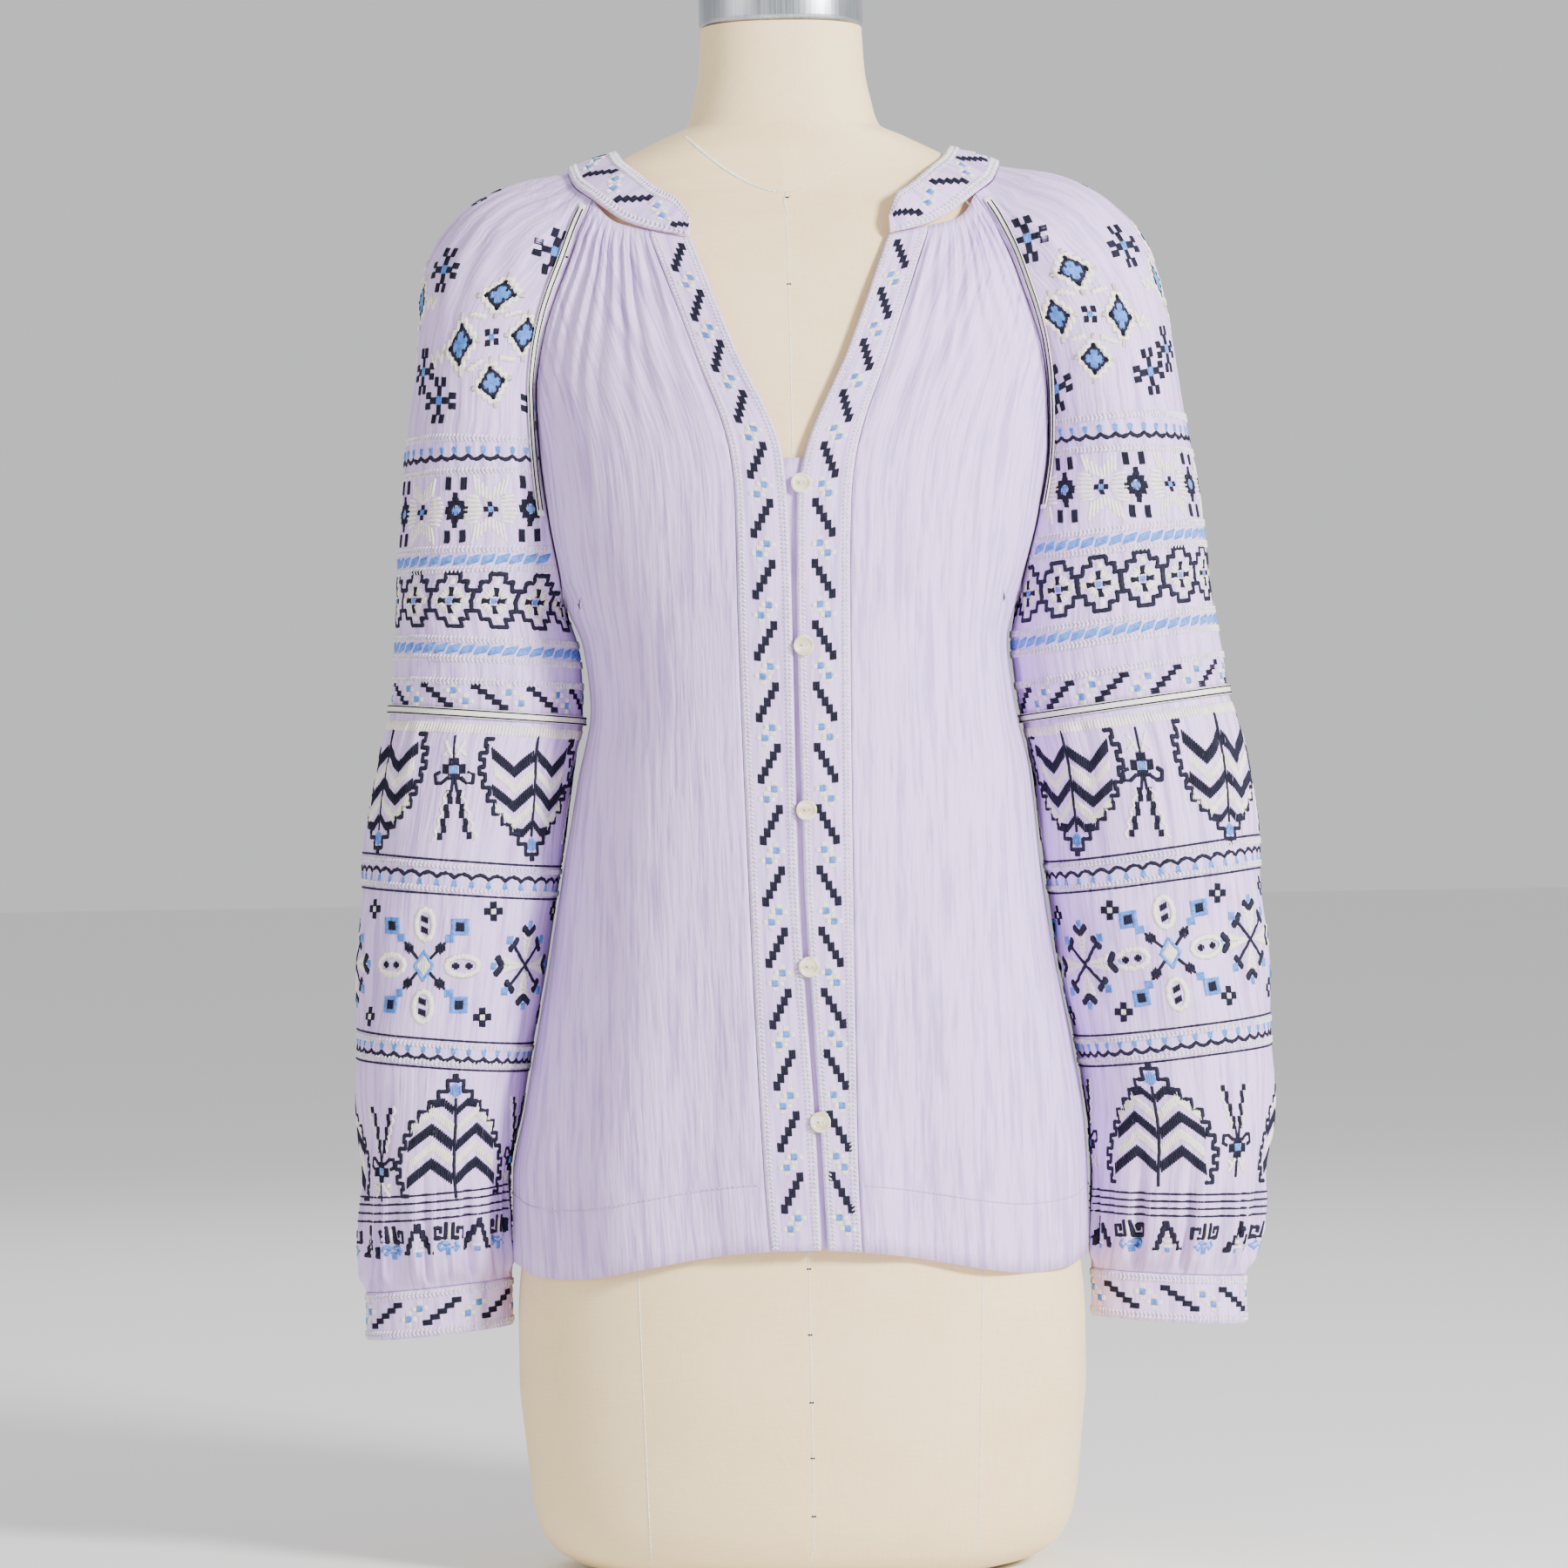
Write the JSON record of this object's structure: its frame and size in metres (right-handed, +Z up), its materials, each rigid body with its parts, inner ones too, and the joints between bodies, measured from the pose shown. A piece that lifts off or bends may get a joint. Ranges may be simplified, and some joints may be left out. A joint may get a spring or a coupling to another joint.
{
  "type": "embroidered blouse on a dress form",
  "caption": "Long-sleeved raglan folk blouse in lilac gauze with embroidered sleeves, band, strips and cuffs, buttoned at the front, on a limbless dress form.",
  "frame": {"origin": "under the middle of the whole, level with the form's flat underside", "axes": "+Z up along the form, -Y out of the blouse's front, +X towards the viewer's right when facing the front"},
  "size_m": [0.5486, 0.2546, 0.9553],
  "materials": {
    "form_linen": "cream linen stretched over the form",
    "cap_steel": "brushed neck cap",
    "lilac_gauze": "crinkled lilac double gauze",
    "embroidered_gauze": "lilac gauze covered with braid and thread",
    "ivory_tape": "narrow ivory cotton tape",
    "button_shell": "satin cream shell"
  },
  "bodies": {
    "root": {"dress_form": "form_linen", "neck_cap": "cap_steel", "front_left": "lilac_gauze", "front_right": "lilac_gauze", "back": "lilac_gauze", "underlap": "lilac_gauze", "front_strip_left": "embroidered_gauze", "front_strip_right": "embroidered_gauze", "neck_band": "embroidered_gauze", "sleeve_upper_left": "lilac_gauze", "sleeve_upper_right": "lilac_gauze", "sleeve_lower_left": "lilac_gauze", "sleeve_lower_right": "lilac_gauze", "cuff_left": "embroidered_gauze", "cuff_right": "embroidered_gauze", "elbow_tape_left": "ivory_tape", "elbow_tape_right": "ivory_tape", "raglan_tape_front_left": "ivory_tape", "raglan_tape_front_right": "ivory_tape", "raglan_tape_back_left": "ivory_tape", "raglan_tape_back_right": "ivory_tape", "button_1": "button_shell", "button_2": "button_shell", "button_3": "button_shell", "button_4": "button_shell", "button_5": "button_shell"}
  },
  "joints": []
}
